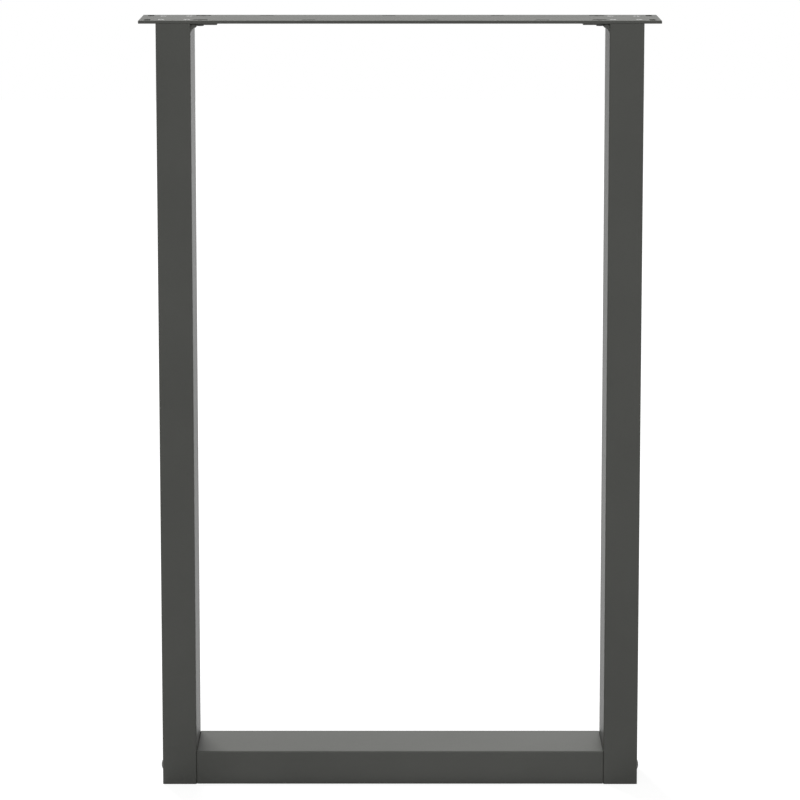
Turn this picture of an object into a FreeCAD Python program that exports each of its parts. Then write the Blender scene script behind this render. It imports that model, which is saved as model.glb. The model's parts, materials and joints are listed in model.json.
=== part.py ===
import FreeCAD, Part
import math
import os

import Sketcher

# A bolted steel table leg in the shape of a U: a slotted plate on two box-section uprights, with a
# box-section rail between their feet. X runs across the leg, Y from its front face to its back face,
# and Z up from the floor.

# Driving dimensions, in millimetres
DIMENSIONS = {
    # overall form
    "overall_height": 900,
    "section_depth": 100,
    "upright_face": 40,
    "rail_height": 40,
    "tube_wall": 1.5,
    "tube_inner_radius": 0.5,
    "rail_end_edge": 0.8,
    # top plate
    "plate_length": 600,
    "plate_overhang": 20,
    "plate_thickness": 3.5,
    "plate_corner": 1.5,
    "plate_edge": 0.4,
    "plate_row_inset": 14,
    # slots at the plate's ends, which run from front to back
    "end_slot_inset": 10,
    "end_slot_width": 7.5,
    "end_slot_length": 18,
    # slots between the uprights, which run along the plate, the back row staggered from the front row
    "middle_slot_width": 5.5,
    "middle_slot_length": 16,
    "left_slot_inset": 135,
    "centre_slot_offset": 37,
    "right_slot_inset": 77,
    "slot_stagger": 50,
    # tapped plates in the uprights' top mouths, and their countersunk screws
    "head_plate_thickness": 5,
    "head_screw_side_inset": 5,
    "head_screw_end_inset": 22,
    "head_screw_thread": 4,
    "head_screw_head": 7.6,
    "head_screw_length": 10,
    "head_screw_recess": 0.05,
    "head_screw_socket": 2.5,
    "head_screw_socket_depth": 1.3,
    # tabs welded under the plate, and their low-headed screws
    "tab_length": 30,
    "tab_thickness": 2,
    "tab_recess": 8,
    "tab_weld": 6.5,
    "tab_head_gap": 0.3,
    "tab_screw_setback": 0.3,
    "tab_screw_thread": 5,
    "tab_screw_head": 8,
    "tab_screw_head_height": 1.6,
    "tab_screw_rim": 1.3,
    "tab_screw_socket": 3,
    "tab_screw_socket_depth": 1.1,
    # shallow reliefs in the plate's top, round the holes that the tabs' screws are tapped into
    "tapped_relief_width": 18,
    "tapped_relief_depth": 0.5,
    # bolts that hold the rail between the uprights
    "rail_bolt_thread": 6,
    "rail_bolt_head": 12,
    "rail_bolt_head_height": 2.4,
    "rail_bolt_rim": 0.7,
    "rail_bolt_socket": 4,
    "rail_bolt_socket_depth": 1.5,
    "rail_bolt_inset": 17,
    "rail_bolt_overrun": 6,
    "rail_end_thickness": 4,
    "nut_width": 10,
    "nut_thickness": 5,
    # plugs in the uprights' bottom mouths
    "foot_cap_height": 12,
    "foot_cap_base": 3,
    "foot_cap_wall": 2,
    # fits
    "insert_clearance": 0.2,
    "hole_clearance": 0.3,
    "thread_clearance": 0.1,
    "seat_clearance": 0.1,
}

# Sizes that follow from the driving dimensions
FRAME_HALF = "(sizes.plate_length / 2 - sizes.plate_overhang)"
INNER_HALF = f"({FRAME_HALF} - sizes.upright_face)"
UPRIGHT_AXIS = f"({FRAME_HALF} - sizes.upright_face / 2)"
PLATE_UNDERSIDE = "(sizes.overall_height - sizes.plate_thickness)"
TUBE_RADIUS = "(sizes.tube_inner_radius + sizes.tube_wall)"
PLATE_ROW = "(sizes.section_depth / 2 - sizes.plate_row_inset)"
RAIL_ROW = "(sizes.section_depth / 2 - sizes.rail_bolt_inset)"
HEAD_SCREW_SIDE = "(sizes.upright_face / 2 - sizes.head_screw_side_inset)"
HEAD_SCREW_ROW = "(sizes.section_depth / 2 - sizes.head_screw_end_inset)"
TAB_SCREW_INSET = "(sizes.tab_screw_head / 2 + sizes.tab_weld + sizes.tab_head_gap)"

UP = FreeCAD.Vector(0, 0, 1)
SIDES = {"left": -1, "right": 1}
HALF_TURN = 180
QUARTER_TURN = 90
HEXAGON_SIDES = 6
SAME_PLACE = 1e-6

# Numbers by which a sketch knows its own axes and the points of a curve
HORIZONTAL_AXIS, VERTICAL_AXIS = range(-1, -3, -1)
START, END, CENTRE = range(1, 4)
ORIGIN_POINT = (HORIZONTAL_AXIS, START)

doc = FreeCAD.newDocument("table_leg")
sheet = doc.addObject("Spreadsheet::Sheet", "sizes")
for row, (alias, size) in enumerate(DIMENSIONS.items(), start=1):
    sheet.set(f"A{row}", str(size))
    sheet.setAlias(f"A{row}", alias)
doc.recompute()


def number(text):
    """The value of an expression on the sheet."""
    return float(sheet.evalExpression(text))


def tube_inside(size):
    """The width of what slides into a tube of that outer width."""
    return f"({size} - 2 * sizes.tube_wall - 2 * sizes.insert_clearance)"


def clear_hole(screw):
    """The width of a hole that the screw's thread passes through."""
    return f"(sizes.{screw}_thread + 2 * sizes.hole_clearance)"


def tapped_hole(screw):
    """The width of a hole that the screw's thread is held by."""
    return f"(sizes.{screw}_thread + 2 * sizes.thread_clearance)"


# Sketches

def new_sketch(body, name, plane, height=None):
    """An empty sketch on one of the body's own planes, or at a height above it."""
    sketch = body.newObject("Sketcher::SketchObject", name)
    support = next(feature for feature in body.Origin.OriginFeatures if feature.Role == plane)
    sketch.AttachmentSupport = (support, [""])
    sketch.MapMode = "FlatFace"
    if height:
        sketch.setExpression("AttachmentOffset.Base.z", height)
    return sketch


def relate(sketch, kind, *references):
    sketch.addConstraint(Sketcher.Constraint(kind, *references))


def measure(sketch, kind, *references):
    """Adds a dimension whose last reference is the expression that it is bound to."""
    *places, text = references
    index = sketch.addConstraint(Sketcher.Constraint(kind, *places, number(text)))
    sketch.setExpression(f"Constraints[{index}]", text)


def line(sketch, start, end):
    return sketch.addGeometry(Part.LineSegment(FreeCAD.Vector(*start), FreeCAD.Vector(*end)), False)


def arc(sketch, centre, radius, first_angle, last_angle):
    circle = Part.Circle(FreeCAD.Vector(*centre), UP, radius)
    return sketch.addGeometry(Part.ArcOfCircle(circle, first_angle, last_angle), False)


def draw_circle(sketch, across, along, diameter):
    centre = FreeCAD.Vector(number(across), number(along))
    index = sketch.addGeometry(Part.Circle(centre, UP, number(diameter) / 2), False)
    measure(sketch, "DistanceX", *ORIGIN_POINT, index, CENTRE, across)
    measure(sketch, "DistanceY", *ORIGIN_POINT, index, CENTRE, along)
    measure(sketch, "Diameter", index, diameter)


def draw_round_rectangle(sketch, width, height, radius):
    """A rectangle round the sketch's origin, with rounded corners."""
    side = number(width) / 2
    top = number(height) / 2
    corner = number(radius)
    lines = [
        line(sketch, (corner - side, -top), (side - corner, -top)),
        line(sketch, (side, corner - top), (side, top - corner)),
        line(sketch, (side - corner, top), (corner - side, top)),
        line(sketch, (-side, top - corner), (-side, corner - top)),
    ]
    arcs = []
    for turn, (sign_x, sign_y) in enumerate(((1, -1), (1, 1), (-1, 1), (-1, -1)), start=-1):
        centre = (sign_x * (side - corner), sign_y * (top - corner))
        arcs.append(arc(sketch, centre, corner, turn * math.pi / 2, (turn + 1) * math.pi / 2))
    for place, corner_arc in enumerate(arcs):
        relate(sketch, "Tangent", lines[place], END, corner_arc, START)
        relate(sketch, "Tangent", corner_arc, END, lines[(place + 1) % len(lines)], START)
        if place:
            relate(sketch, "Equal", arcs[0], corner_arc)
    bottom, right, upper, left = lines
    relate(sketch, "Horizontal", bottom)
    relate(sketch, "Vertical", right)
    relate(sketch, "Horizontal", upper)
    relate(sketch, "Vertical", left)
    relate(sketch, "Symmetric", bottom, START, upper, START, *ORIGIN_POINT)
    measure(sketch, "DistanceX", left, START, right, START, width)
    measure(sketch, "DistanceY", bottom, START, upper, START, height)
    measure(sketch, "Radius", arcs[0], radius)


def draw_slot(sketch, across, along, length, width, lengthwise):
    """A slot with round ends, centred on a point, along the sketch's first axis or else its second."""
    reach = f"(({length}) - ({width})) / 2"
    radius = number(width) / 2
    centre = FreeCAD.Vector(number(across), number(along))
    step = FreeCAD.Vector(number(reach), 0) if lengthwise else FreeCAD.Vector(0, number(reach))
    edge = FreeCAD.Vector(0, radius) if lengthwise else FreeCAD.Vector(-radius, 0)
    turn = math.pi / 2 if lengthwise else math.pi
    low = arc(sketch, centre - step, radius, turn, turn + math.pi)
    high = arc(sketch, centre + step, radius, turn + math.pi, turn + 2 * math.pi)
    first = line(sketch, centre - step + edge, centre + step + edge)
    second = line(sketch, centre - step - edge, centre + step - edge)
    relate(sketch, "Tangent", first, START, low, START)
    relate(sketch, "Tangent", first, END, high, END)
    relate(sketch, "Tangent", second, START, low, END)
    relate(sketch, "Tangent", second, END, high, START)
    relate(sketch, "Equal", low, high)
    relate(sketch, "Horizontal" if lengthwise else "Vertical", first)
    running, crossing = ("DistanceX", "DistanceY") if lengthwise else ("DistanceY", "DistanceX")
    run_place, cross_place = (across, along) if lengthwise else (along, across)
    measure(sketch, running, *ORIGIN_POINT, low, CENTRE, f"({run_place}) - {reach}")
    measure(sketch, running, *ORIGIN_POINT, high, CENTRE, f"({run_place}) + {reach}")
    measure(sketch, crossing, *ORIGIN_POINT, low, CENTRE, cross_place)
    measure(sketch, "Diameter", low, width)


def draw_hexagon(sketch, width):
    """A hexagon round the sketch's origin, given across its flats."""
    across_corners = f"({width}) / cos({HALF_TURN} deg / {HEXAGON_SIDES})"
    radius = number(across_corners) / 2
    corners = []
    for place in range(HEXAGON_SIDES):
        angle = place * 2 * math.pi / HEXAGON_SIDES
        corners.append((radius * math.cos(angle), radius * math.sin(angle)))
    sides = [line(sketch, corners[place - 1], corners[place]) for place in range(HEXAGON_SIDES)]
    ring = sketch.addGeometry(Part.Circle(FreeCAD.Vector(), UP, radius), True)
    relate(sketch, "Coincident", ring, CENTRE, *ORIGIN_POINT)
    for place, edge in enumerate(sides):
        relate(sketch, "Coincident", sides[place - 1], END, edge, START)
        relate(sketch, "PointOnObject", edge, START, ring)
        if place:
            relate(sketch, "Equal", sides[0], edge)
    relate(sketch, "PointOnObject", sides[0], END, HORIZONTAL_AXIS)
    measure(sketch, "Diameter", ring, across_corners)


def draw_outline(sketch, corners, closed=True):
    """Sides through corners given as pairs of expressions, with or without a last side that closes them."""
    points = [(number(across), number(along)) for across, along in corners]
    ends = points[1:] + points[:1] if closed else points[1:]
    sides = [line(sketch, start, end) for start, end in zip(points, ends)]
    for place, (across, along) in enumerate(corners):
        corner = (sides[place], START) if place < len(sides) else (sides[-1], END)
        if closed or 0 < place < len(sides):
            relate(sketch, "Coincident", sides[place - 1], END, *corner)
        if across == "0":
            relate(sketch, "PointOnObject", *corner, VERTICAL_AXIS)
        else:
            measure(sketch, "DistanceX", *ORIGIN_POINT, *corner, across)
        if along == "0":
            relate(sketch, "PointOnObject", *corner, HORIZONTAL_AXIS)
        else:
            measure(sketch, "DistanceY", *ORIGIN_POINT, *corner, along)
    return sides


# Features

def new_body(label, across=None, up=None, turned=False):
    """A body for one piece, moved across and up, and turned half round where it is a mirror twin."""
    body = doc.addObject("PartDesign::Body", label)
    body.Label = label
    if turned:
        body.Placement = FreeCAD.Placement(FreeCAD.Vector(), FreeCAD.Rotation(UP, HALF_TURN))
    if across:
        body.setExpression("Placement.Base.x", across)
    if up:
        body.setExpression("Placement.Base.z", up)
    return body


def pad(body, sketch, length, both_ways=False, downwards=False):
    feature = body.newObject("PartDesign::Pad", f"{sketch.Name}_pad")
    feature.Profile = sketch
    feature.Midplane = both_ways
    feature.Reversed = downwards
    feature.setExpression("Length", length)
    doc.recompute()
    return feature


def pocket(body, sketch, depth=None, both_ways=False):
    """Cuts a sketch to a depth, or right through the body."""
    feature = body.newObject("PartDesign::Pocket", f"{sketch.Name}_pocket")
    feature.Profile = sketch
    feature.Midplane = both_ways
    if depth:
        feature.setExpression("Length", depth)
    else:
        feature.Type = "ThroughAll"
    doc.recompute()


def revolve(body, sketch):
    feature = body.newObject("PartDesign::Revolution", f"{sketch.Name}_revolution")
    feature.Profile = sketch
    feature.ReferenceAxis = (sketch, ["V_Axis"])
    doc.recompute()


def level_edges(shape):
    """The edges that lie flat, above and below a sheet."""
    return [edge for edge in shape.Edges if edge.BoundBox.ZLength < SAME_PLACE]


def end_rims(shape):
    """The outer edges of a tube's two ends, for a tube that runs across."""
    rims = []
    for face in shape.Faces:
        if face.BoundBox.XLength < SAME_PLACE:
            rims += face.OuterWire.Edges
    return rims


def break_edges(body, base, edges, size):
    """Takes the sharpness off some of the base feature's edges."""
    names = []
    for place, edge in enumerate(base.Shape.Edges, start=1):
        if any(edge.isSame(chosen) for chosen in edges):
            names.append(f"Edge{place}")
    feature = body.newObject("PartDesign::Chamfer", f"{base.Name}_edges")
    feature.Base = (base, names)
    feature.setExpression("Size", size)
    doc.recompute()


# Plate, tubes and the pieces fitted to them

def make_top_plate():
    body = new_body("top_plate", up=PLATE_UNDERSIDE)
    outline = new_sketch(body, "plate_outline", "XY_Plane")
    draw_round_rectangle(outline, "sizes.plate_length", "sizes.section_depth", "sizes.plate_corner")
    sheet_metal = pad(body, outline, "sizes.plate_thickness")
    break_edges(body, sheet_metal, level_edges(sheet_metal.Shape), "sizes.plate_edge")

    cuts = new_sketch(body, "plate_slots", "XY_Plane", height="sizes.plate_thickness")
    front_slots = (
        f"sizes.left_slot_inset - {INNER_HALF}",
        "sizes.centre_slot_offset",
        f"{INNER_HALF} - sizes.right_slot_inset",
    )
    for slot_place in front_slots:
        for row, shift in ((f"-{PLATE_ROW}", "0"), (PLATE_ROW, "sizes.slot_stagger")):
            across = f"{slot_place} - {shift}"
            draw_slot(cuts, across, row, "sizes.middle_slot_length", "sizes.middle_slot_width", True)
    for side in SIDES.values():
        for row in (f"-{PLATE_ROW}", PLATE_ROW):
            end_place = f"{side} * (sizes.plate_length / 2 - sizes.end_slot_inset)"
            draw_slot(cuts, end_place, row, "sizes.end_slot_length", "sizes.end_slot_width", False)
    for across, along in tab_screw_places():
        draw_circle(cuts, across, along, tapped_hole("tab_screw"))
    pocket(body, cuts)

    reliefs = new_sketch(body, "tapped_reliefs", "XY_Plane", height="sizes.plate_thickness")
    for across, along in tab_screw_places():
        draw_circle(reliefs, across, along, "sizes.tapped_relief_width")
    pocket(body, reliefs, depth="sizes.tapped_relief_depth")

    centres = new_sketch(body, "countersinks", "XY_Plane", height="sizes.plate_thickness")
    for across, along in head_screw_places():
        draw_circle(centres, across, along, clear_hole("head_screw"))
    doc.recompute()
    hole = body.newObject("PartDesign::Hole", "countersunk_holes")
    hole.Profile = centres
    hole.ThreadType = "None"
    hole.DepthType = "ThroughAll"
    hole.HoleCutType = "Countersink"
    hole.HoleCutCustomValues = True
    hole.HoleCutCountersinkAngle = QUARTER_TURN
    hole.setExpression("Diameter", clear_hole("head_screw"))
    rim_to_seat = "(sizes.head_screw_recess + sizes.seat_clearance)"
    hole.setExpression("HoleCutDiameter", f"sizes.head_screw_head + 2 * {rim_to_seat}")
    doc.recompute()
    return body


def head_screw_places():
    """Where the countersunk screws go: four over each upright."""
    places = []
    for side in SIDES.values():
        for step in (-1, 1):
            across = f"{side} * {UPRIGHT_AXIS} + {step} * {HEAD_SCREW_SIDE}"
            for row in (-1, 1):
                places.append((across, f"{row} * {HEAD_SCREW_ROW}"))
    return places


def tab_screw_places():
    """Where the tabs' screws go: two under each end of the plate."""
    places = []
    for side in SIDES.values():
        across = f"{side} * ({INNER_HALF} - {TAB_SCREW_INSET})"
        for row in (-1, 1):
            places.append((across, f"{row} * {PLATE_ROW}"))
    return places


def draw_rail_bolt_holes(sketch, height):
    for row in (-1, 1):
        draw_circle(sketch, f"{row} * {RAIL_ROW}", height, clear_hole("rail_bolt"))


def make_upright(name, side):
    body = new_body(f"{name}_upright", across=f"{side} * {UPRIGHT_AXIS}")
    section = new_sketch(body, f"{name}_upright_section", "XY_Plane")
    draw_round_rectangle(section, "sizes.upright_face", "sizes.section_depth", TUBE_RADIUS)
    bore_across = "sizes.upright_face - 2 * sizes.tube_wall"
    bore_deep = "sizes.section_depth - 2 * sizes.tube_wall"
    draw_round_rectangle(section, bore_across, bore_deep, "sizes.tube_inner_radius")
    pad(body, section, PLATE_UNDERSIDE)
    holes = new_sketch(body, f"{name}_upright_holes", "YZ_Plane")
    draw_rail_bolt_holes(holes, "sizes.rail_height / 2")
    pocket(body, holes, both_ways=True)
    return body


def make_head_plate(name, side):
    body = new_body(f"{name}_head_plate", across=f"{side} * {UPRIGHT_AXIS}", up=PLATE_UNDERSIDE)
    outline = new_sketch(body, f"{name}_head_outline", "XY_Plane")
    fit_across = tube_inside("sizes.upright_face")
    fit_deep = tube_inside("sizes.section_depth")
    draw_round_rectangle(outline, fit_across, fit_deep, "sizes.tube_inner_radius")
    pad(body, outline, "sizes.head_plate_thickness", downwards=True)
    taps = new_sketch(body, f"{name}_head_taps", "XY_Plane")
    for step in (-1, 1):
        for row in (-1, 1):
            across = f"{step} * {HEAD_SCREW_SIDE}"
            along = f"{row} * {HEAD_SCREW_ROW}"
            draw_circle(taps, across, along, tapped_hole("head_screw"))
    pocket(body, taps)
    return body


def make_corner_tab(name, side):
    """A tab under the plate, with the weld that joins its root to the upright."""
    body = new_body(f"{name}_corner_tab", f"{side} * {INNER_HALF}", PLATE_UNDERSIDE, turned=side > 0)
    profile = new_sketch(body, f"{name}_tab_profile", "XZ_Plane")
    draw_outline(profile, (
        ("0", "0"),
        ("sizes.tab_length", "0"),
        ("sizes.tab_length", "-sizes.tab_thickness"),
        ("sizes.tab_weld", "-sizes.tab_thickness"),
        ("0", "-sizes.tab_thickness - sizes.tab_weld"),
    ))
    pad(body, profile, "sizes.section_depth - 2 * sizes.tab_recess", both_ways=True)
    holes = new_sketch(body, f"{name}_tab_holes", "XY_Plane")
    for row in (f"-{PLATE_ROW}", PLATE_ROW):
        draw_circle(holes, TAB_SCREW_INSET, row, clear_hole("tab_screw"))
    pocket(body, holes)
    return body


def make_bottom_rail():
    body = new_body("bottom_rail", up="sizes.rail_height / 2")
    section = new_sketch(body, "rail_section", "YZ_Plane")
    draw_round_rectangle(section, "sizes.section_depth", "sizes.rail_height", TUBE_RADIUS)
    bore_deep = "sizes.section_depth - 2 * sizes.tube_wall"
    bore_high = "sizes.rail_height - 2 * sizes.tube_wall"
    draw_round_rectangle(section, bore_deep, bore_high, "sizes.tube_inner_radius")
    tube = pad(body, section, f"2 * {INNER_HALF}", both_ways=True)
    break_edges(body, tube, end_rims(tube.Shape), "sizes.rail_end_edge")
    return body


def make_rail_end_plate(name, side):
    middle = "sizes.rail_height / 2"
    body = new_body(f"{name}_rail_end_plate", f"{side} * {INNER_HALF}", middle, turned=side > 0)
    outline = new_sketch(body, f"{name}_rail_end_outline", "YZ_Plane")
    fit_deep = tube_inside("sizes.section_depth")
    fit_high = tube_inside("sizes.rail_height")
    draw_round_rectangle(outline, fit_deep, fit_high, "sizes.tube_inner_radius")
    pad(body, outline, "sizes.rail_end_thickness")
    holes = new_sketch(body, f"{name}_rail_end_holes", "YZ_Plane")
    draw_rail_bolt_holes(holes, "0")
    pocket(body, holes, both_ways=True)
    return body


def make_foot_cap(name, side):
    """A plug whose base is flush with the tube's end and whose walls stand up inside it."""
    body = new_body(f"{name}_foot_cap", across=f"{side} * {UPRIGHT_AXIS}")
    outline = new_sketch(body, f"{name}_cap_outline", "XY_Plane")
    fit_across = tube_inside("sizes.upright_face")
    fit_deep = tube_inside("sizes.section_depth")
    draw_round_rectangle(outline, fit_across, fit_deep, "sizes.tube_inner_radius")
    pad(body, outline, "sizes.foot_cap_height")
    hollow = new_sketch(body, f"{name}_cap_hollow", "XY_Plane", height="sizes.foot_cap_height")
    hollow_across = f"{fit_across} - 2 * sizes.foot_cap_wall"
    hollow_deep = f"{fit_deep} - 2 * sizes.foot_cap_wall"
    draw_round_rectangle(hollow, hollow_across, hollow_deep, "sizes.tube_inner_radius")
    pocket(body, hollow, depth="sizes.foot_cap_height - sizes.foot_cap_base")
    return body


# Fasteners, each modelled once on its own axis and then placed where it is used

def draw_dome(sketch, screw):
    """An arc round a centre on the screw's axis, from the top of the head's rim to the head's top."""
    rim = number(f"sizes.{screw}_head / 2")
    rise = number(f"sizes.{screw}_head_height - sizes.{screw}_rim")
    radius = (rim ** 2 + rise ** 2) / (2 * rise)
    centre = number(f"sizes.{screw}_head_height") - radius
    return arc(sketch, (0, centre), radius, math.acos(rim / radius), math.pi / 2)


def make_button_screw(screw, length):
    """A screw with its domed head above the origin and its shank below. A high rim leaves a flat dome."""
    body = new_body(screw)
    profile = new_sketch(body, f"{screw}_profile", "XZ_Plane")
    sides = draw_outline(profile, (
        ("0", f"sizes.{screw}_head_height"),
        ("0", f"-{length}"),
        (f"sizes.{screw}_thread / 2", f"-{length}"),
        (f"sizes.{screw}_thread / 2", "0"),
        (f"sizes.{screw}_head / 2", "0"),
        (f"sizes.{screw}_head / 2", f"sizes.{screw}_rim"),
    ), closed=False)
    dome = draw_dome(profile, screw)
    relate(profile, "Coincident", sides[-1], END, dome, START)
    relate(profile, "Coincident", dome, END, sides[0], START)
    relate(profile, "PointOnObject", dome, CENTRE, VERTICAL_AXIS)
    revolve(body, profile)
    socket = new_sketch(body, f"{screw}_socket_outline", "XY_Plane", f"sizes.{screw}_head_height")
    draw_hexagon(socket, f"sizes.{screw}_socket")
    pocket(body, socket, depth=f"sizes.{screw}_socket_depth")
    return body


def make_countersunk_screw():
    """A countersunk screw with the top of its head on the origin."""
    body = new_body("head_screw")
    profile = new_sketch(body, "head_screw_profile", "XZ_Plane")
    cone_depth = "(sizes.head_screw_head - sizes.head_screw_thread) / 2"
    draw_outline(profile, (
        ("0", "0"),
        ("sizes.head_screw_head / 2", "0"),
        ("sizes.head_screw_thread / 2", f"-{cone_depth}"),
        ("sizes.head_screw_thread / 2", "-sizes.head_screw_length"),
        ("0", "-sizes.head_screw_length"),
    ))
    revolve(body, profile)
    socket = new_sketch(body, "head_screw_socket", "XY_Plane")
    draw_hexagon(socket, "sizes.head_screw_socket")
    pocket(body, socket, depth="sizes.head_screw_socket_depth")
    return body


def make_nut():
    """A hexagon nut that stands on the origin."""
    body = new_body("rail_nut")
    outline = new_sketch(body, "rail_nut_outline", "XY_Plane")
    draw_hexagon(outline, "sizes.nut_width")
    draw_circle(outline, "0", "0", tapped_hole("rail_bolt"))
    pad(body, outline, "sizes.nut_thickness")
    return body


def place_group(label, fastener, places):
    """One node of separate copies. Each place is its x, y and z expressions and its turn."""
    copies = []
    for across, along, up, turn in places:
        copy = doc.addObject("App::Link", f"{label}_copy")
        copy.LinkedObject = fastener
        copy.Placement = FreeCAD.Placement(FreeCAD.Vector(), turn)
        copy.setExpression("Placement.Base.x", across)
        copy.setExpression("Placement.Base.y", along)
        copy.setExpression("Placement.Base.z", up)
        copies.append(copy)
    group = doc.addObject("Part::Compound", label)
    group.Label = label
    group.Links = copies
    return group


def make_fasteners():
    upright = FreeCAD.Rotation()
    upside_down = FreeCAD.Rotation(FreeCAD.Vector(1, 0, 0), HALF_TURN)
    rail_bolt_places = []
    rail_nut_places = []
    for side in SIDES.values():
        outwards = FreeCAD.Rotation(FreeCAD.Vector(0, 1, 0), side * QUARTER_TURN)
        inwards = FreeCAD.Rotation(FreeCAD.Vector(0, 1, 0), -side * QUARTER_TURN)
        nut_seat = f"{side} * ({INNER_HALF} - sizes.rail_end_thickness)"
        for row in (-1, 1):
            rail_row = f"{row} * {RAIL_ROW}"
            rail_bolt_places.append((f"{side} * {FRAME_HALF}", rail_row, "sizes.rail_height / 2", outwards))
            rail_nut_places.append((nut_seat, rail_row, "sizes.rail_height / 2", inwards))
    tab_underside = f"{PLATE_UNDERSIDE} - sizes.tab_thickness"
    tab_places = [(across, along, tab_underside, upside_down) for across, along in tab_screw_places()]
    head_top = "sizes.overall_height - sizes.head_screw_recess"
    head_places = [(across, along, head_top, upright) for across, along in head_screw_places()]

    grip = "sizes.upright_face + sizes.rail_end_thickness + sizes.nut_thickness"
    rail_bolt = make_button_screw("rail_bolt", f"({grip} + sizes.rail_bolt_overrun)")
    tapped_depth = "sizes.plate_thickness - sizes.tapped_relief_depth"
    tab_reach = f"(sizes.tab_thickness + {tapped_depth} - sizes.tab_screw_setback)"
    tab_screw = make_button_screw("tab_screw", tab_reach)
    return [
        place_group("rail_bolts", rail_bolt, rail_bolt_places),
        place_group("rail_nuts", make_nut(), rail_nut_places),
        place_group("tab_screws", tab_screw, tab_places),
        place_group("head_screws", make_countersunk_screw(), head_places),
    ]


def check(nodes):
    """Stops before anything is written if a feature failed, cut nothing or left a shape that isn't sound."""
    for feature in doc.Objects:
        if "Invalid" in feature.State or "Error" in feature.State:
            raise RuntimeError(f"{feature.Label} failed: {feature.State}")
        if feature.TypeId in ("PartDesign::Pocket", "PartDesign::Hole", "PartDesign::Chamfer"):
            if feature.Shape.Volume >= feature.BaseFeature.Shape.Volume:
                raise RuntimeError(f"{feature.Label} cuts nothing")
    for node in nodes:
        if node.Shape.isNull() or not node.Shape.isValid() or not node.Shape.Solids:
            raise RuntimeError(f"{node.Label} has no sound solid")


parts = [make_top_plate(), make_bottom_rail()]
for name, side in SIDES.items():
    parts.append(make_upright(name, side))
    parts.append(make_head_plate(name, side))
    parts.append(make_corner_tab(name, side))
    parts.append(make_rail_end_plate(name, side))
    parts.append(make_foot_cap(name, side))
parts += make_fasteners()
doc.recompute()
check(parts)

os.makedirs("parts", exist_ok=True)
for part in parts:
    part.Shape.exportStep(f"parts/{part.Label}.step")
    print(part.Label, len(part.Shape.Solids), round(part.Shape.Volume), part.Shape.BoundBox)
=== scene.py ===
import json
import math

import bmesh
import bpy
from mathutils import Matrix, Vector


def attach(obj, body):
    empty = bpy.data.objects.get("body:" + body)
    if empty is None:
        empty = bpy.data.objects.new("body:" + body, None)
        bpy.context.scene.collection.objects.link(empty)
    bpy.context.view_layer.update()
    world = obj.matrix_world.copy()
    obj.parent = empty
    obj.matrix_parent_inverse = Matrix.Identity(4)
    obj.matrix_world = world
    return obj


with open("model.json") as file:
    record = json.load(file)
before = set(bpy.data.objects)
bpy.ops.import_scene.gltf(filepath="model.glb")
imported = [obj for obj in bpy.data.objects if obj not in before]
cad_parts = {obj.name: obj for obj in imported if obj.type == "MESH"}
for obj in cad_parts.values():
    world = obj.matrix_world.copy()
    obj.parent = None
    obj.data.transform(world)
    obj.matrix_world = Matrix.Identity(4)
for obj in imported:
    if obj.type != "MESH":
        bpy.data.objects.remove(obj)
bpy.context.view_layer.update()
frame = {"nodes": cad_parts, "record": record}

# Everything is in metres, in the frame of the CAD model: x across the leg, y to its back, z up.
MILLIMETRE = 0.001

# Camera: the photograph's viewpoint, tilted down from level to the middle of the leg, in degrees
CAMERA_PLACE = (0.0, -4.57, 1.2124)
CAMERA_LEVEL = 90.0
CAMERA_PITCH = 9.45
CAMERA_LENS = 177.39
CAMERA_SENSOR = 36.0

# Light: white ground and background, and soft boxes with powers in watts.
# The overhead box stays out of reflections, so that the plated screws don't burn out in views from above.
FILL_STRENGTH = 0.55
SEEN_STRENGTH = 1.0
WHITE = (1.0, 1.0, 1.0, 1.0)
FLOOR_HALF = 9.0
FLOOR_ALBEDO = (0.75, 0.75, 0.75, 1.0)
FLOOR_GLOW = 0.88
FLOOR_SEEN_ALBEDO = (0.15, 0.15, 0.15, 1.0)
SOFT_BOXES = {
    "front_box": {"place": (0.5, -2.0, 2.6), "aim": (0.0, 0.0, 0.9), "size": (1.6, 1.2), "power": 30.0},
    "top_box": {"place": (-0.856, 2.986, 11.59), "aim": (0.0, 0.0, 0.0), "size": (1.1, 1.2), "power": 2200.0,
                "in_gloss": False},
    "back_box": {"place": (0.9, 4.5, 0.55), "aim": (0.0, 0.0, 0.4), "size": (1.2, 1.0), "power": 2.6},
}

# Where the CAD model has the uprights' inner faces and the tabs
UPRIGHT_FACE = 240 * MILLIMETRE
TAB_UNDERSIDE = 894.5 * MILLIMETRE
TAB_HALF_DEPTH = 42 * MILLIMETRE
TAB_THICKNESS = 2 * MILLIMETRE

# Weld beads: a coved, rippled run in the corner of each tab and its upright, a little past the tab's ends
WELD_SIDES = {"left_weld": -1, "right_weld": 1}
WELD_HALF_LENGTH = 46.5 * MILLIMETRE
WELD_END = 1.5 * MILLIMETRE
WELD_COVE = 7.5 * MILLIMETRE
WELD_DROP = 9.8 * MILLIMETRE
WELD_REACH = 6.75 * MILLIMETRE
WELD_TOE = 1.3 * MILLIMETRE
WELD_ROOT = 0.1 * MILLIMETRE
WELD_RING_STEP = 0.4 * MILLIMETRE
WELD_TOE_STEPS = 4
WELD_COVE_STEPS = 12
RIPPLE_PITCH = 2.2 * MILLIMETRE
RIPPLE_HEIGHT = 0.25 * MILLIMETRE
RIPPLE_BOW = 0.8 * MILLIMETRE

# What all finishes share: the part of a noise's range that is used, and how much each pattern counts
NOISE_LOW = 0.3
NOISE_HIGH = 0.7
TONE_DETAIL = 2.0
GRAIN_DETAIL = 3.0
TONE_SHARE = 0.6
GRAIN_SHARE = 0.4
# The edge share is a painted highlight: it lightens the colour along edges.
EDGE_HIGHLIGHT_SHARE = 0.6
EDGE_FULL_COSINE = 0.7
EDGE_SAMPLES = 4
RELIEF_STRENGTH = 0.5
PLAIN_IOR = 1.5

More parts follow.
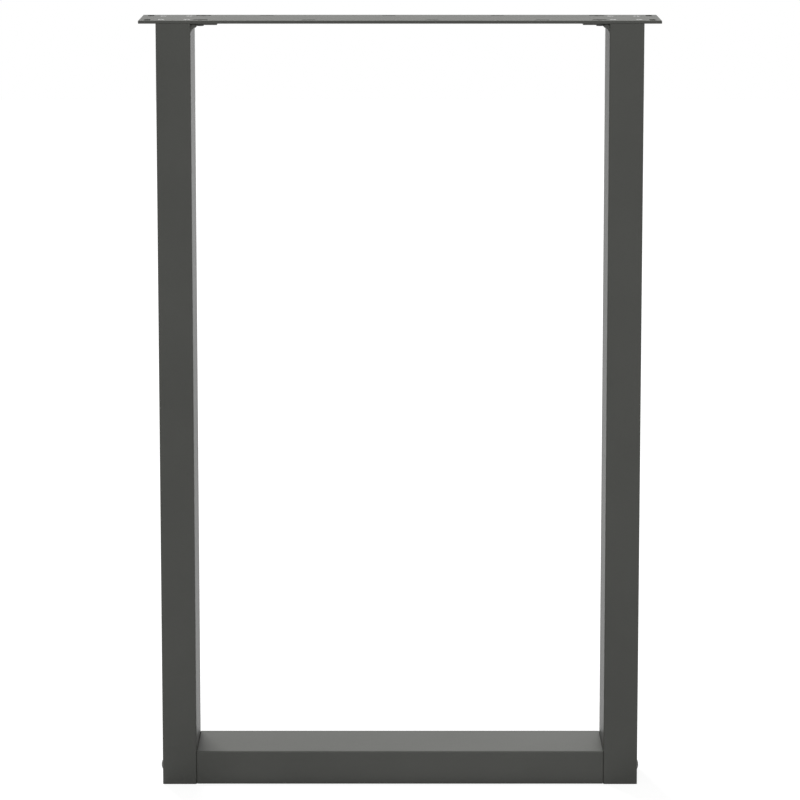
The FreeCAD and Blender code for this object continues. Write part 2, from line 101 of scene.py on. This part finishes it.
# Finishes: each pair of colours is the dark and the light end of a material's own variation.
COAT_COLOURS = ((0.0392, 0.0402, 0.0362), (0.0462, 0.0473, 0.0428))
COAT_TONE_SIZE = 90 * MILLIMETRE
COAT_GRAIN_SIZE = 0.7 * MILLIMETRE
COAT_GRAIN_HEIGHT = 0.03 * MILLIMETRE
# Width of the painted highlight that lightens the coat's colour along its edges
COAT_EDGE_HIGHLIGHT_WIDTH = 1.2 * MILLIMETRE
COAT_ROUGHNESS = (0.41, 0.52)
COAT_IOR = 1.325

OXIDE_COLOURS = ((0.014, 0.014, 0.014), (0.028, 0.027, 0.026))
OXIDE_TONE_SIZE = 2.5 * MILLIMETRE
OXIDE_GRAIN_SIZE = 0.25 * MILLIMETRE
OXIDE_GRAIN_HEIGHT = 0.01 * MILLIMETRE
OXIDE_ROUGHNESS = (0.34, 0.48)

ZINC_COLOURS = ((0.68, 0.69, 0.70), (0.84, 0.83, 0.80))
ZINC_TONE_SIZE = 3 * MILLIMETRE
ZINC_GRAIN_SIZE = 0.2 * MILLIMETRE
ZINC_GRAIN_HEIGHT = 0.005 * MILLIMETRE
ZINC_ROUGHNESS = (0.1, 0.17)

STEEL_COLOURS = ((0.30, 0.30, 0.31), (0.44, 0.44, 0.43))
STEEL_TONE_SIZE = 12 * MILLIMETRE
STEEL_GRAIN_SIZE = 0.3 * MILLIMETRE
STEEL_GRAIN_HEIGHT = 0.01 * MILLIMETRE
STEEL_GRAIN_STRETCH = (0.1, 1.0, 1.0)
STEEL_ROUGHNESS = (0.35, 0.55)

PLASTIC_COLOURS = ((0.019, 0.019, 0.019), (0.026, 0.026, 0.026))
PLASTIC_TONE_SIZE = 20 * MILLIMETRE
PLASTIC_GRAIN_SIZE = 0.5 * MILLIMETRE
PLASTIC_GRAIN_HEIGHT = 0.03 * MILLIMETRE
PLASTIC_ROUGHNESS = (0.5, 0.65)


def add_node(tree, kind, sockets, **settings):
    """Adds a node. A socket is given a value, or another node's output to link to."""
    made = tree.nodes.new(kind)
    for name, value in settings.items():
        setattr(made, name, value)
    for name, value in sockets.items():
        if isinstance(value, bpy.types.NodeSocket):
            tree.links.new(value, made.inputs[name])
        else:
            made.inputs[name].default_value = value
    return made


def noise(tree, place, size, detail):
    """A noise whose lumps are about this size."""
    made = add_node(tree, "ShaderNodeTexNoise", {"Vector": place, "Scale": 1 / size, "Detail": detail})
    return made.outputs["Fac"]


def spread(tree, value, low, high):
    """Stretches the middle of a noise over the range from low to high."""
    sockets = {"Value": value, "From Min": NOISE_LOW, "From Max": NOISE_HIGH, "To Min": low, "To Max": high}
    return add_node(tree, "ShaderNodeMapRange", sockets).outputs["Result"]


def painted_edge_highlight(tree, width):
    """A mask for a painted edge highlight: nought on a flat face, rising towards an edge within this width.
    """
    bevel = add_node(tree, "ShaderNodeBevel", {"Radius": width}, samples=EDGE_SAMPLES)
    shape = tree.nodes.new("ShaderNodeNewGeometry")
    dot = add_node(tree, "ShaderNodeVectorMath", {}, operation="DOT_PRODUCT")
    tree.links.new(bevel.outputs["Normal"], dot.inputs[0])
    tree.links.new(shape.outputs["Normal"], dot.inputs[1])
    sockets = {"Value": dot.outputs["Value"], "From Min": 1.0, "From Max": EDGE_FULL_COSINE,
               "To Min": 0.0, "To Max": 1.0}
    return add_node(tree, "ShaderNodeMapRange", sockets).outputs["Result"]


def total(tree, *weighted):
    """Adds up values, each times its weight."""
    result = None
    for value, weight in weighted:
        step = add_node(tree, "ShaderNodeMath", {}, operation="MULTIPLY_ADD")
        tree.links.new(value, step.inputs[0])
        step.inputs[1].default_value = weight
        if result is None:
            step.inputs[2].default_value = 0.0
        else:
            tree.links.new(result, step.inputs[2])
        result = step.outputs["Value"]
    return result


def colour_between(tree, value, colours):
    """The dark colour where the value is nought, the light one where it is one."""
    ramp = add_node(tree, "ShaderNodeValToRGB", {"Fac": value})
    for element, colour in zip(ramp.color_ramp.elements, colours):
        element.color = (*colour, 1.0)
    return ramp.outputs["Color"]


def make_finish(name, colours, tone_size, grain_size, grain_height, roughness, edge_highlight_width=None,
                metallic=0.0, ior=PLAIN_IOR, stretch=None):
    """A finish with a slow change of tone and a fine grain in colour, roughness and relief.

    Where an edge highlight width is given, edges are painted lighter in colour, a painted highlight. A
    stretch draws the grain out along an axis."""
    material = bpy.data.materials.new(name)
    material.use_nodes = True
    tree = material.node_tree
    shader = tree.nodes["Principled BSDF"]
    place = tree.nodes.new("ShaderNodeTexCoord").outputs["Object"]
    grain_place = place
    if stretch is not None:
        mapping = add_node(tree, "ShaderNodeMapping", {"Vector": place, "Scale": stretch})
        grain_place = mapping.outputs["Vector"]
    tone = spread(tree, noise(tree, place, tone_size, TONE_DETAIL), 0.0, 1.0)
    grain = noise(tree, grain_place, grain_size, GRAIN_DETAIL)
    parts = [(tone, TONE_SHARE), (grain, GRAIN_SHARE)]
    # Edges lightened in colour: a painted highlight
    if edge_highlight_width is not None:
        parts.append((painted_edge_highlight(tree, edge_highlight_width), EDGE_HIGHLIGHT_SHARE))
    tree.links.new(colour_between(tree, total(tree, *parts), colours), shader.inputs["Base Color"])
    tree.links.new(spread(tree, grain, *roughness), shader.inputs["Roughness"])
    bump = {"Height": grain, "Strength": RELIEF_STRENGTH, "Distance": grain_height}
    relief = add_node(tree, "ShaderNodeBump", bump)
    tree.links.new(relief.outputs["Normal"], shader.inputs["Normal"])
    shader.inputs["Metallic"].default_value = metallic
    shader.inputs["IOR"].default_value = ior
    return material


def make_finishes():
    """One material for each slot of the record."""
    return {
        "powder_coat": make_finish("powder_coat", COAT_COLOURS, COAT_TONE_SIZE, COAT_GRAIN_SIZE,
                                   COAT_GRAIN_HEIGHT, COAT_ROUGHNESS, COAT_EDGE_HIGHLIGHT_WIDTH, ior=COAT_IOR),
        "black_fasteners": make_finish("black_fasteners", OXIDE_COLOURS, OXIDE_TONE_SIZE, OXIDE_GRAIN_SIZE,
                                       OXIDE_GRAIN_HEIGHT, OXIDE_ROUGHNESS),
        "plated_screws": make_finish("plated_screws", ZINC_COLOURS, ZINC_TONE_SIZE, ZINC_GRAIN_SIZE,
                                     ZINC_GRAIN_HEIGHT, ZINC_ROUGHNESS, metallic=1.0),
        "inner_steel": make_finish("inner_steel", STEEL_COLOURS, STEEL_TONE_SIZE, STEEL_GRAIN_SIZE,
                                   STEEL_GRAIN_HEIGHT, STEEL_ROUGHNESS, metallic=1.0,
                                   stretch=STEEL_GRAIN_STRETCH),
        "foot_plastic": make_finish("foot_plastic", PLASTIC_COLOURS, PLASTIC_TONE_SIZE, PLASTIC_GRAIN_SIZE,
                                    PLASTIC_GRAIN_HEIGHT, PLASTIC_ROUGHNESS),
    }


def dress_nodes(finishes):
    """Gives every CAD node the finish that the record names for it."""
    for part in frame["record"]["subparts"]:
        slots = frame["nodes"][part["node"]].data.materials
        slots.clear()
        slots.append(finishes[part["material_slot"]])


def weld_profile():
    """The face of a bead, from its toe on the tab down to the upright, with its outward directions.

    A place is the distance from the upright and the distance below the tab."""
    cove_centre = Vector((WELD_COVE, WELD_DROP))
    cove_start = math.acos((WELD_COVE - WELD_REACH + WELD_TOE) / WELD_COVE)
    toe_centre = cove_centre - Vector((math.cos(cove_start), math.sin(cove_start))) * WELD_COVE
    toe_centre.y -= WELD_TOE
    face = []
    for step in range(WELD_TOE_STEPS):
        angle = math.pi / 2 * step / WELD_TOE_STEPS
        outward = Vector((math.cos(angle), math.sin(angle)))
        face.append((toe_centre + outward * WELD_TOE, outward))
    for step in range(WELD_COVE_STEPS + 1):
        angle = cove_start * (1 - step / WELD_COVE_STEPS)
        outward = Vector((math.cos(angle), math.sin(angle)))
        face.append((cove_centre - outward * WELD_COVE, outward))
    return face


def weld_ring(face, along):
    """One section of a bead at this place along it, rippled, and shrunk to its root at the bead's ends.

    Past the tab's end the bead also fills the tab's thickness, up to the plate."""
    above = WELD_ROOT
    if abs(along) > TAB_HALF_DEPTH:
        above += TAB_THICKNESS
    root = Vector((-WELD_ROOT, -above))
    past_end = max(abs(along) - WELD_HALF_LENGTH, 0.0) / WELD_END
    shrink = math.sqrt(1 - min(past_end, 1.0) ** 2)
    ring = [root, Vector((WELD_REACH, -above))]
    for count, (place, outward) in enumerate(face):
        share = math.sin(math.pi * count / (len(face) - 1))
        phase = math.tau * (along - RIPPLE_BOW * share) / RIPPLE_PITCH
        height = RIPPLE_HEIGHT * share * (1 + math.cos(phase)) / 2
        ring.append(place + outward * height)
    ring.append(Vector((-WELD_ROOT, WELD_DROP)))
    return [root + (place - root) * shrink for place in ring]


def weld_mesh(name, side):
    """A closed mesh of one bead: rings along it, joined by faces, with a face at each end."""
    face = weld_profile()
    half = WELD_HALF_LENGTH + WELD_END
    steps = round(2 * half / WELD_RING_STEP)
    shape = bmesh.new()
    last = None
    for step in range(1, steps):
        along = half * (2 * step / steps - 1)
        ring = []
        for across, below in weld_ring(face, along):
            ring.append(shape.verts.new((side * (UPRIGHT_FACE - across), along, TAB_UNDERSIDE - below)))
        if last is None:
            shape.faces.new(ring)
        else:
            for here in range(len(ring)):
                there = (here + 1) % len(ring)
                shape.faces.new((last[here], last[there], ring[there], ring[here]))
        last = ring
    shape.faces.new(last)
    bmesh.ops.recalc_face_normals(shape, faces=shape.faces)
    mesh = bpy.data.meshes.new(name)
    shape.to_mesh(mesh)
    shape.free()
    mesh.shade_smooth()
    return mesh


def make_weld(name, side, finish):
    """The bead under one tab, on the left for side -1 and on the right for side 1."""
    mesh = weld_mesh(name, side)
    mesh.materials.append(finish)
    weld = bpy.data.objects.new(name, mesh)
    bpy.context.scene.collection.objects.link(weld)
    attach(weld, "root")


def seen_directly(tree):
    """One for rays from the camera, from reflections and through glass, nought for the rest."""
    rays = tree.nodes.new("ShaderNodeLightPath")
    result = rays.outputs["Is Camera Ray"]
    for name in ("Is Glossy Ray", "Is Transmission Ray"):
        both = add_node(tree, "ShaderNodeMath", {}, operation="MAXIMUM")
        tree.links.new(result, both.inputs[0])
        tree.links.new(rays.outputs[name], both.inputs[1])
        result = both.outputs["Value"]
    return result


def mix_shaders(tree, factor, first, second):
    """The first shader where the factor is nought, the second where it is one."""
    mix = add_node(tree, "ShaderNodeMixShader", {"Fac": factor})
    tree.links.new(first, mix.inputs[1])
    tree.links.new(second, mix.inputs[2])
    return mix.outputs["Shader"]


def make_world():
    """White where it is seen, and a weaker fill where it lights the leg."""
    world = bpy.data.worlds.new("studio")
    world.use_nodes = True
    bpy.context.scene.world = world
    tree = world.node_tree
    tree.nodes.clear()
    fill = add_node(tree, "ShaderNodeBackground", {"Color": WHITE, "Strength": FILL_STRENGTH})
    seen = add_node(tree, "ShaderNodeBackground", {"Color": WHITE, "Strength": SEEN_STRENGTH})
    both = mix_shaders(tree, seen_directly(tree), fill.outputs["Background"], seen.outputs["Background"])
    add_node(tree, "ShaderNodeOutputWorld", {"Surface": both})


def make_floor():
    """A plain pale floor that is white in the picture and keeps a faint shadow."""
    corners = [(x, y, 0.0) for x, y in ((-1, -1), (1, -1), (1, 1), (-1, 1))]
    mesh = bpy.data.meshes.new("floor")
    mesh.from_pydata([Vector(corner) * FLOOR_HALF for corner in corners], [], [(0, 1, 2, 3)])
    floor = bpy.data.objects.new("floor", mesh)
    bpy.context.scene.collection.objects.link(floor)
    material = bpy.data.materials.new("floor")
    material.use_nodes = True
    tree = material.node_tree
    tree.nodes.clear()
    plain = add_node(tree, "ShaderNodeBsdfDiffuse", {"Color": FLOOR_ALBEDO})
    weak = add_node(tree, "ShaderNodeBsdfDiffuse", {"Color": FLOOR_SEEN_ALBEDO})
    glow = add_node(tree, "ShaderNodeEmission", {"Color": WHITE, "Strength": FLOOR_GLOW})
    seen = tree.nodes.new("ShaderNodeAddShader")
    tree.links.new(weak.outputs["BSDF"], seen.inputs[0])
    tree.links.new(glow.outputs["Emission"], seen.inputs[1])
    both = mix_shaders(tree, seen_directly(tree), plain.outputs["BSDF"], seen.outputs["Shader"])
    add_node(tree, "ShaderNodeOutputMaterial", {"Surface": both})
    mesh.materials.append(material)


def make_soft_box(name, place, aim, size, power, in_gloss=True):
    """A rectangular studio light at a place, turned to its aim, which reflections may leave out."""
    data = bpy.data.lights.new(name, "AREA")
    data.shape = "RECTANGLE"
    data.size, data.size_y = size
    data.energy = power
    light = bpy.data.objects.new(name, data)
    light.location = place
    light.rotation_euler = (Vector(aim) - Vector(place)).to_track_quat("-Z", "Y").to_euler()
    light.visible_camera = False
    light.visible_glossy = in_gloss
    bpy.context.scene.collection.objects.link(light)


def make_camera():
    """The photograph's camera, with the lens and the sensor in millimetres."""
    data = bpy.data.cameras.new("camera")
    data.lens = CAMERA_LENS
    data.sensor_width = CAMERA_SENSOR
    camera = bpy.data.objects.new("camera", data)
    camera.location = CAMERA_PLACE
    camera.rotation_euler = (math.radians(CAMERA_LEVEL - CAMERA_PITCH), 0.0, 0.0)
    bpy.context.scene.collection.objects.link(camera)
    bpy.context.scene.camera = camera


bpy.context.scene.view_settings.view_transform = "Standard"
make_camera()
make_world()
make_floor()
for name, settings in SOFT_BOXES.items():
    make_soft_box(name, **settings)
finishes = make_finishes()
dress_nodes(finishes)
for name, side in WELD_SIDES.items():
    make_weld(name, side, finishes["powder_coat"])
